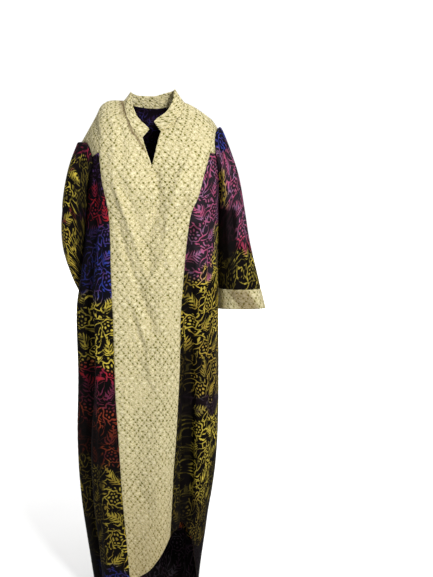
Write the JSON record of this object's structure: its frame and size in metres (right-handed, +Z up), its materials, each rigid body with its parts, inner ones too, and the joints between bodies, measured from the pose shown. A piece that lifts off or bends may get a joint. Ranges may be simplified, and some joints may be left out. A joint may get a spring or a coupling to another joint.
{
  "type": "kaftan",
  "caption": "Full-length kaftan in worn form: lace front with yoke, V slit and stand collar, dyed side panels, back and wide sleeves with lace cuff bands.",
  "frame": {"origin": "between the shoulders at the base of the neck, where the wearer's shoulders hold the garment", "axes": "+Z up along the wearer, -Y is the garment's front, +X is the wearer's left"},
  "size_m": [0.6051, 0.3556, 1.5791],
  "materials": {
    "lace": "matt cream lace with small eyelets",
    "batik": "matt black cotton with resist-dyed flowers in yellow, magenta, blue and red"
  },
  "bodies": {
    "root": {"front_lace_panel": "lace", "front_side_panel_right": "batik", "front_side_panel_left": "batik", "back_panel": "batik", "stand_collar": "lace", "sleeve_right": "batik", "cuff_band_right": "lace", "sleeve_left": "batik", "cuff_band_left": "lace"}
  },
  "joints": []
}
